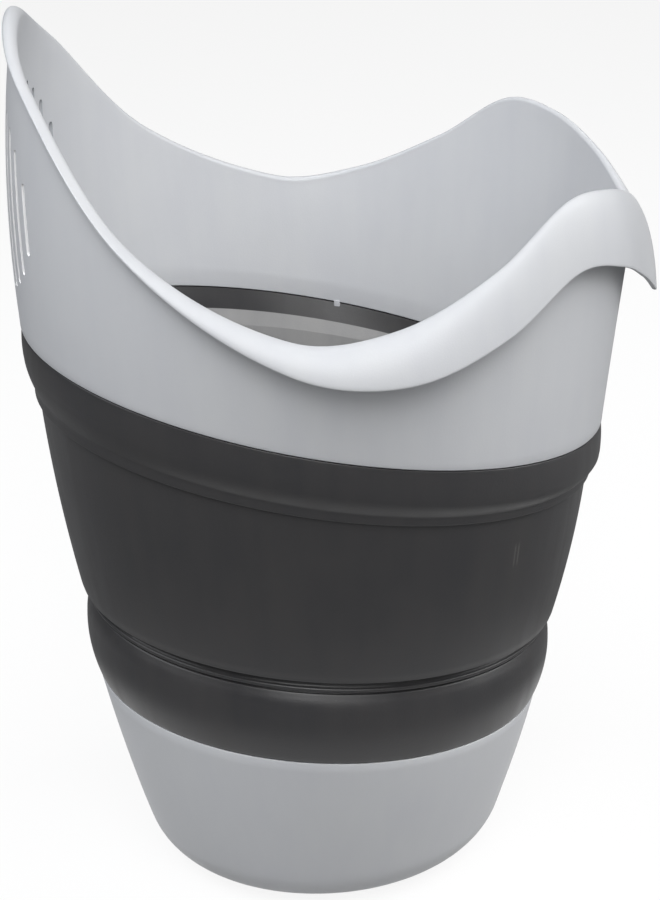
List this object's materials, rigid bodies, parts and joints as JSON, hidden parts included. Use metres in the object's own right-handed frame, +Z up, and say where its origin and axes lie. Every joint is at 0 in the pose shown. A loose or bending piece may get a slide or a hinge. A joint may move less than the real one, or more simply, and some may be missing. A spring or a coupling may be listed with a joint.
{
  "type": "collapsible colander",
  "caption": "Collapsible tilting colander: pale grey wave-rimmed collar with a hooded handle lip and strainer slots, dark folding silicone wall, and a rigid round-footed base cup.",
  "frame": {"origin": "centre of the flat resting face under the base cup", "axes": "+Z up through the open mouth, +X towards the hooded handle side, -X towards the slotted pouring side"},
  "size_m": [0.2075, 0.2208, 0.2923],
  "materials": {
    "pale_grey_polypropylene": "satin moulded polypropylene, pale grey",
    "charcoal_silicone": "soft matt silicone, charcoal"
  },
  "bodies": {
    "cup_body": {"base_cup": "pale_grey_polypropylene", "lower_band": "charcoal_silicone"},
    "wall_body": {"middle_band": "charcoal_silicone"},
    "collar_body": {"upper_band": "charcoal_silicone", "collar": "pale_grey_polypropylene"}
  },
  "joints": [
    {"name": "lower_fold", "type": "slide", "parent": "cup_body", "child": "wall_body", "axis": [0, 0, 1], "range_m": [-0.054, 0]},
    {"name": "upper_fold", "type": "slide", "parent": "wall_body", "child": "collar_body", "axis": [0, 0, 1], "range_m": [-0.054, 0]}
  ],
  "couplings": [
    {"joint": "upper_fold", "follows": "lower_fold", "ratio": 1}
  ]
}
